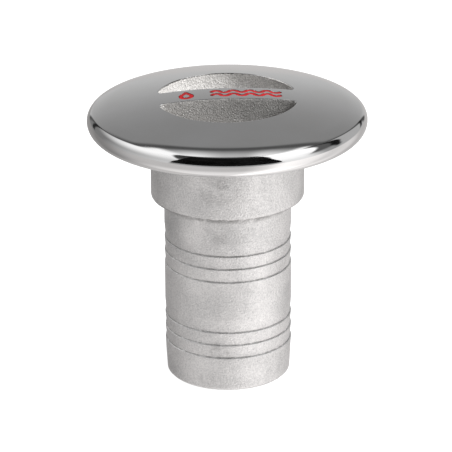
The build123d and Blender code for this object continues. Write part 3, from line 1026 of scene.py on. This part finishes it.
def build_world():
    """Photo studio round the metal: dark in front, panels at both sides and behind."""
    world = bpy.data.worlds.new("studio")
    bpy.context.scene.world = world
    world.use_nodes = True
    g = Graph(world.node_tree)
    room = Studio(g, -VIEW_TURN)
    z = room.z
    # dark ceiling, grey room below it
    room.paint(1.0, room.fade(g.step(z, 0.95, 0.70), 0.06, 0.42))
    # strip light behind, above the pale back wall
    strip = room.both(room.below(180, 65, 0.05), room.without(room.below(180, 50, 0.03)))
    left_end, right_end = g.step(room.toward(-90), 0.0, 0.14), g.step(room.toward(90), 0.06, 0.14)
    ends = g.math("MAXIMUM", left_end, right_end)
    rise = g.step(z, 0.76, 0.90)
    room.paint(strip, g.math("MULTIPLY", room.fade(rise, 0.16, 1.0), room.fade(ends, 0.66, 1.25)))
    # big panels at both sides, brighter towards the top
    left = room.both(room.below(-112, 68, 0.05), room.between(200, 0.03, 313, 0.03))
    side = g.math("MAXIMUM", room.toward(-30), 0.0)
    glow = g.math("MULTIPLY", g.step(z, 0.35, 0.85), room.fade(side, 1.15, 0.05))
    room.paint(left, g.math("ADD", room.fade(side, 0.26, 0.84), glow))
    right = room.both(room.below(115, 74, 0.06), room.between(42, 0.12, 157, 0.03))
    room.paint(right, room.fade(g.step(z, 0.35, 0.80), 0.42, 1.6))
    bright = room.both(right, room.without(room.past(78, 0.20)))
    room.paint(bright, room.fade(g.step(z, 0.2, 0.7), 1.15, 1.45))
    # grey arm and black stand in front of the right panel
    lower = room.without(room.level_below(15, 0.08))
    arm = room.both(room.below(140, 53.5, 0.05), room.between(76, 0.14, 154, 0.02))
    room.paint(room.both(arm, room.without(room.level_below(25, 0.12))), (0.13, 0.13, 0.13))
    stand = room.both(room.below(160, 50, 0.04), room.between(96, 0.05, 154, 0.02, (0.2, 0.0)))
    room.paint(room.both(stand, lower), (0.01, 0.01, 0.01))
    inner = room.both(room.below(175, 48, 0.04), room.between(99, 0.05, 157, 0.02, (0.45, 0.0)))
    room.paint(inner, (0.56, 0.56, 0.56))
    # pale back wall between the panels, with a dark gap at each side of it
    span = room.between(147, 0.04, 209, 0.04)
    room.paint(room.both(span, room.below(180, 52, 0.05)), (0.10, 0.10, 0.10))
    above = room.both(room.without(room.level_below(7, 0.04)), room.below(180, 46, 0.10))
    for start, end, lean in ((129, 135, 0.95), (223, 230, -0.68)):
        gap = room.both(room.between(start, 0.03, end, 0.03, (lean, lean)), above)
        room.paint(gap, (0.02, 0.02, 0.02))
    wall = room.both(room.between(154, 0.03, 204, 0.03), room.below(180, 47.0, 0.05))
    shine = g.math("POWER", g.step(z, 0.66, 0.02), 1.25)
    room.paint(wall, room.fade(shine, 0.31, 0.62))
    # lower half: pale table, dull at the back left and brightest at the right
    table = g.step(z, 0.08, 0.0)
    shade = room.fade(g.step(room.around(-20), -0.25, 0.75), 0.30, 0.71)
    for bearing, low, high, extra in (
        (75, 0.45, 0.95, 0.62), (62, 0.86, 0.99, 0.35),
        (150, 0.60, 0.94, 0.32), (-160, 0.86, 0.96, 0.08),
    ):
        lift = g.math("MULTIPLY", g.step(room.around(bearing), low, high), extra)
        shade = g.math("ADD", shade, lift)
    shade = g.math("ADD", shade, g.math("MULTIPLY", g.step(z, -0.55, -0.95), 0.40))
    room.paint(table, g.blend(1.0, (0, 0, 0), shade))
    warm = g.node("ShaderNodeMix", {0: table}, data_type="RGBA", blend_type="MULTIPLY")
    g.plug(room.colour, warm.inputs[6])
    warm.inputs[7].default_value = (1.0, 0.975, 0.965, 1)
    room.colour = warm.outputs[2]
    studio = g.node("ShaderNodeBackground", {"Color": room.colour, "Strength": 1.0})
    plain = g.node("ShaderNodeBackground", {"Color": (1, 1, 1, 1), "Strength": 1.0})
    seen = g.node("ShaderNodeLightPath").outputs["Is Camera Ray"]
    mix = g.node("ShaderNodeMixShader", {0: seen, 1: studio.outputs[0], 2: plain.outputs[0]})
    output = g.node("ShaderNodeOutputWorld")
    g.tree.links.new(mix.outputs[0], output.inputs[0])


def build_light():
    """Soft lamp at the right, above the fitting; the mirror faces don't show it."""
    data = bpy.data.lights.new("soft_lamp", "AREA")
    data.shape, data.size, data.energy = "DISK", 0.5, 29.0
    lamp = bpy.data.objects.new("soft_lamp", data)
    place = Vector((0.95, -0.17, 0.68))
    facing = place.to_track_quat("Z", "Y").to_matrix().to_4x4()
    lamp.matrix_world = Matrix.Translation(place) @ facing
    lamp.visible_glossy = False
    bpy.context.scene.collection.objects.link(lamp)


def build_camera():
    """Long lens, 22 degrees down, turned a little round from the ridge's square."""
    distance = 1254.0
    turn, tilt, roll = (math.radians(a) for a in (VIEW_TURN, 22.02, -0.33))
    level = math.cos(tilt)
    ahead = Vector((math.sin(turn) * level, math.cos(turn) * level, -math.sin(tilt)))
    right = Vector((math.cos(turn), -math.sin(turn), 0))
    up = right.cross(ahead)
    aim = Vector((0, 0, SKIRT_Z))
    place = aim - ahead * distance - right * 0.56 - up * 29.99
    data = bpy.data.cameras.new("camera")
    data.sensor_width = 36
    data.lens = 36 * 4000 / 452
    data.clip_start, data.clip_end = 0.05, 100
    camera = bpy.data.objects.new("camera", data)
    camera.matrix_world = Matrix.Translation(place * MM) @ Matrix(
        ((right.x, up.x, -ahead.x), (right.y, up.y, -ahead.y), (right.z, up.z, -ahead.z))
    ).to_4x4() @ Matrix.Rotation(roll, 4, "Z")
    bpy.context.scene.collection.objects.link(camera)
    bpy.context.scene.camera = camera


build_cap()
build_body()
dress_kept_nodes()
build_floor()
build_flag()
build_world()
build_camera()
build_light()
bpy.context.scene.view_settings.view_transform = "Standard"
